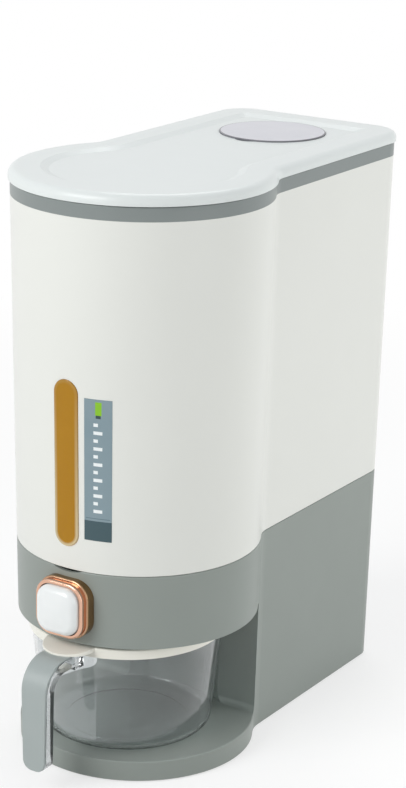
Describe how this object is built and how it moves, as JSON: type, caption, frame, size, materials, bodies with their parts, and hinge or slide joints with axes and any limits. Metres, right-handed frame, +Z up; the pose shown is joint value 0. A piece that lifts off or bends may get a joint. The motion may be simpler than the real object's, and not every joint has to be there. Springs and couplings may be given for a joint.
{
  "type": "rice dispenser",
  "caption": "Upright rice dispenser with a keyhole-plan hopper, lift-off lid, amber level window, push button, swinging outlet gate and clear pull-out measuring cup.",
  "frame": {"origin": "centre of the bounding box's footprint, on the floor that the rubber feet stand on", "axes": "+Z up, -Y is the front with the button, cup and handle, +X is to the right of someone who stands in front of the part and faces it"},
  "size_m": [0.1876, 0.3692, 0.4274],
  "materials": {
    "grey_plastic": "satin",
    "white_shell": "gloss",
    "white_lid": "high gloss",
    "cap_white": "gloss",
    "inner_white": "satin",
    "amber": "clear tinted",
    "clear": "clear",
    "clear_core": "clear",
    "label": "satin film",
    "rose_gold": "rose gold plated",
    "button_white": "gloss",
    "collar_white": "gloss",
    "dark_plastic": "satin",
    "seal": "matte",
    "foot_rubber": "matte",
    "steel": "bright",
    "paper_pack": "matte"
  },
  "bodies": {
    "housing": {"lower_housing": "grey_plastic", "bottom_cover": "grey_plastic", "rubber_feet": "foot_rubber", "bottom_screws": "steel", "upper_shell": "white_shell", "level_window": "amber", "front_label": "label", "top_collar": "grey_plastic", "hopper_floor": "inner_white", "chute_seal": "seal", "valve_housing": "inner_white", "valve_screws": "steel", "button_bezel": "rose_gold"},
    "button": {"button_cap": "button_white", "button_plunger": "dark_plastic", "return_spring": "steel"},
    "gate": {"outlet_gate": "dark_plastic", "gate_seal": "seal"},
    "lid": {"lid_shell": "white_lid", "lid_seal": "seal", "desiccant_basket": "inner_white", "desiccant_pack": "paper_pack"},
    "cap": {"freshness_cap": "cap_white", "cap_seal": "seal"},
    "cup": {"cup_bowl": "clear", "cup_collar": "collar_white", "handle_core": "clear_core", "handle_cover": "grey_plastic"}
  },
  "joints": [
    {"name": "lid_lift", "type": "slide", "parent": "housing", "child": "lid", "axis": [0, 0, 1], "range_m": [0, 0.06]},
    {"name": "cap_lift", "type": "slide", "parent": "lid", "child": "cap", "axis": [0, 0, 1], "range_m": [0, 0.025]},
    {"name": "button_press", "type": "slide", "parent": "housing", "child": "button", "axis": [0, 1, 0], "range_m": [0, 0.00728], "stiffness_N_per_m": 400, "springref_m": -0.004, "deforming": ["return_spring"]},
    {"name": "gate_swing", "type": "hinge", "parent": "housing", "child": "gate", "pos_m": [0, -0.07045, 0.125], "axis": [-1, 0, 0], "range_deg": [0, 40.01]},
    {"name": "cup_pull", "type": "slide", "parent": "housing", "child": "cup", "axis": [0, -1, 0], "range_m": [0, 0.16]}
  ],
  "couplings": [
    {"joint": "gate_swing", "follows": "button_press", "rad_per_m": 95.897}
  ]
}
